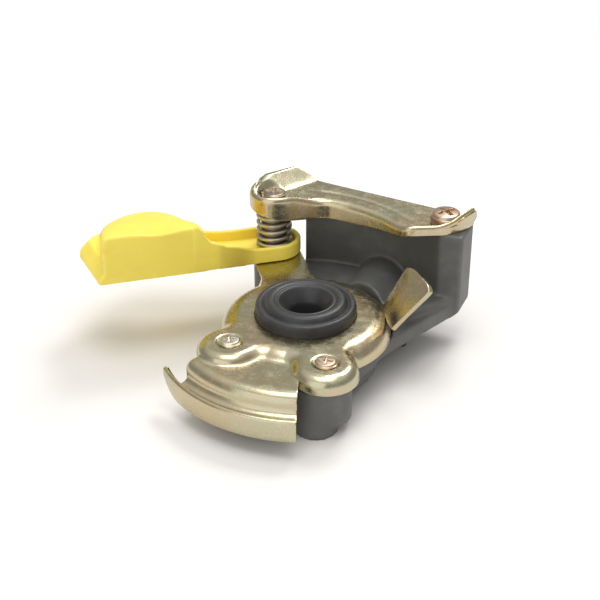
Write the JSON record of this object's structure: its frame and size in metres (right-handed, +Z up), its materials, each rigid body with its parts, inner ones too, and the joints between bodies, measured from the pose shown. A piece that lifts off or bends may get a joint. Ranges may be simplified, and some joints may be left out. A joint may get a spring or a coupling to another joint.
{
  "type": "trailer air brake palm coupling",
  "caption": "Cast air-brake palm coupling head with a pressed cover plate and hooking lip, rubber face seal, claw bracket and a sprung dust cap that swings aside.",
  "frame": {"origin": "on the seal's axis, at the face that the coupling rests on", "axes": "+Z up along the seal's axis, out of its mouth; -Y to the front, where the lip hooks; +Y to the rear, where the air port opens; +X to the right"},
  "size_m": [0.1377, 0.1112, 0.053],
  "materials": {
    "casting": "black satin coating",
    "zinc_plate": "yellow zinc passivated",
    "seal_rubber": "moulded, satin",
    "screw_zinc": "yellow zinc passivated",
    "plain_steel": "bright zinc",
    "spring_steel": "drawn wire",
    "cap_plastic": "moulded, satin"
  },
  "bodies": {
    "coupling": {"body_casting": "casting", "cover_plate": "zinc_plate", "claw_bracket": "zinc_plate", "coupling_seal": "seal_rubber", "plate_screw_left": "screw_zinc", "plate_screw_right": "screw_zinc", "bracket_screw": "screw_zinc", "bracket_lock_washer": "plain_steel", "pivot_bolt": "screw_zinc", "pivot_lock_washer": "plain_steel", "pivot_sleeve": "plain_steel", "cap_spring": "spring_steel"},
    "lift": {"spring_washer": "plain_steel"},
    "cap": {"dust_cap": "cap_plastic"}
  },
  "joints": [
    {"name": "cap_lift", "type": "slide", "parent": "coupling", "child": "lift", "axis": [0, 0, 1], "range_m": [0, 0.006], "stiffness_N_per_m": 1500, "springref_m": -0.004, "deforming": ["cap_spring"]},
    {"name": "cap_swing", "type": "hinge", "parent": "lift", "child": "cap", "pos_m": [-0.02922, 0.03934, 0.029], "axis": [0, 0, 1], "range_deg": [-30, 88]}
  ]
}
